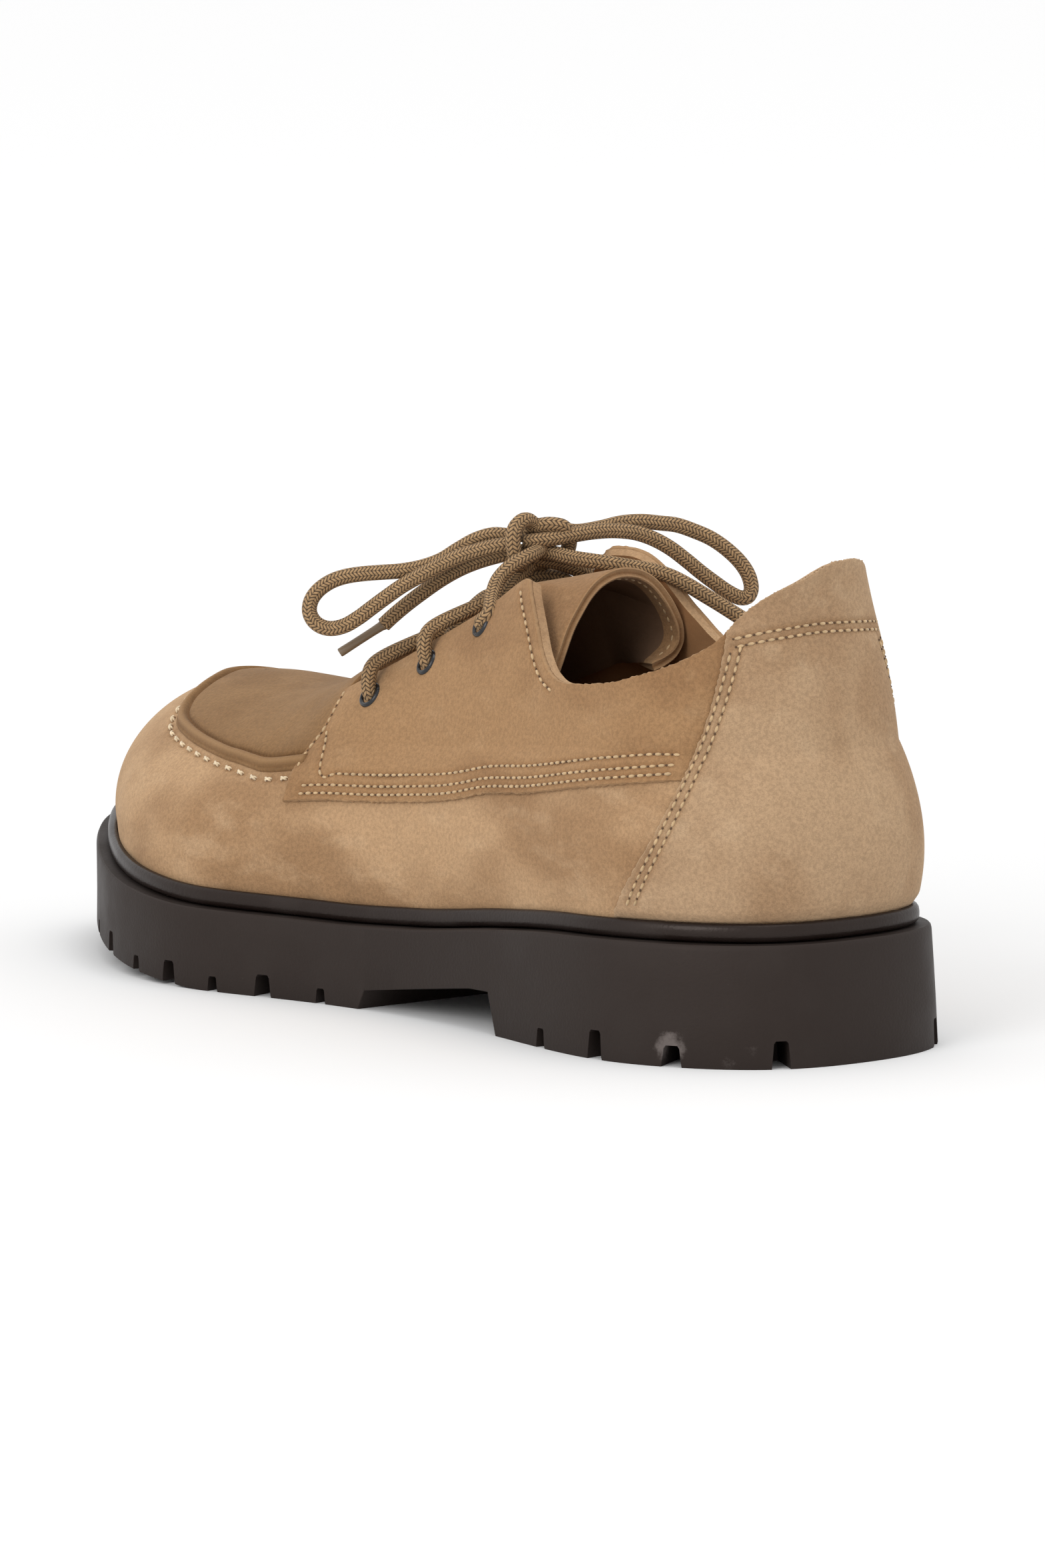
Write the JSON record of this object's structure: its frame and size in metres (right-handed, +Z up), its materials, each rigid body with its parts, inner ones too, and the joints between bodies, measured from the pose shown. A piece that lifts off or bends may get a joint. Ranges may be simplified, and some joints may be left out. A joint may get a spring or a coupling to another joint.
{
  "type": "derby shoe",
  "caption": "Low suede derby shoe with a moccasin toe seam, open lacing tied in a bow and a lugged rubber sole with a low heel.",
  "frame": {"origin": "centre of the shoe's bounding box on the floor plane under the sole", "axes": "+Y points to the toe, +X to the inner side of the foot, +Z up"},
  "size_m": [0.1077, 0.2768, 0.117],
  "materials": {
    "suede": "napped sand suede",
    "sole_rubber": "matte dark brown rubber",
    "welt_rubber": "smooth slightly glossy dark brown rubber",
    "lining": "plain dark brown leather",
    "lace": "round braided cord, olive brown",
    "eyelet_metal": "black enamelled metal",
    "lace_tip": "wrapped tip in the lace's colour"
  },
  "bodies": {
    "root": {"outsole": "sole_rubber", "welt": "welt_rubber", "insole": "lining", "upper": "suede", "apron": "suede", "counter": "suede", "quarter_lateral": "suede", "quarter_medial": "suede", "tongue": "suede", "eyelet_lateral_1": "eyelet_metal", "eyelet_lateral_2": "eyelet_metal", "eyelet_lateral_3": "eyelet_metal", "eyelet_medial_1": "eyelet_metal", "eyelet_medial_2": "eyelet_metal", "eyelet_medial_3": "eyelet_metal", "lace_cross_1": "lace", "lace_cross_2": "lace", "lace_risers": "lace", "bow_knot": "lace", "loop_lateral": "lace", "loop_medial": "lace", "end_lateral": "lace", "end_medial": "lace", "tip_lateral": "lace_tip", "tip_medial": "lace_tip"}
  },
  "joints": []
}
